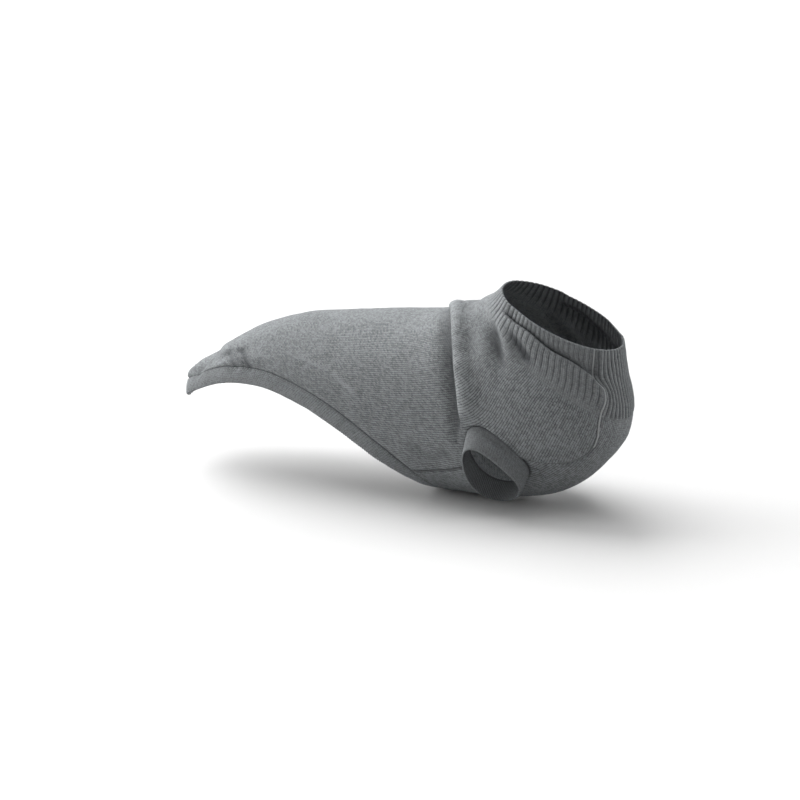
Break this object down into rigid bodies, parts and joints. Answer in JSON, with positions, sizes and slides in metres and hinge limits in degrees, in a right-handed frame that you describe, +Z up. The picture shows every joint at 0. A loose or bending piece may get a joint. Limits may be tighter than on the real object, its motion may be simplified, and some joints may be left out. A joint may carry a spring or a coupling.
{
  "type": "dog sweater",
  "caption": "Knitted pullover for a large dog, worn and lying: long back, cut-away belly, ribbed collar, two ribbed leg cuffs and a ribbed hem band, open at the neck, legs and rear.",
  "frame": {"origin": "inside of the cloth on top of the wearer's withers, where the wearer holds the sweater up", "axes": "+X to the wearer's head, +Y to the wearer's left, +Z up"},
  "size_m": [0.7116, 0.273, 0.3116],
  "materials": {
    "back_knit": "matt plain knit",
    "chest_knit": "matt plain knit",
    "collar_rib": "matt ribbed knit",
    "hem_rib": "matt ribbed knit",
    "cuff_rib": "matt ribbed knit"
  },
  "bodies": {
    "root": {"back_panel": "back_knit", "chest_panel": "chest_knit", "collar_back": "collar_rib", "collar_chest": "collar_rib", "hem_band": "hem_rib", "cuff_right": "cuff_rib", "cuff_left": "cuff_rib"}
  },
  "joints": []
}
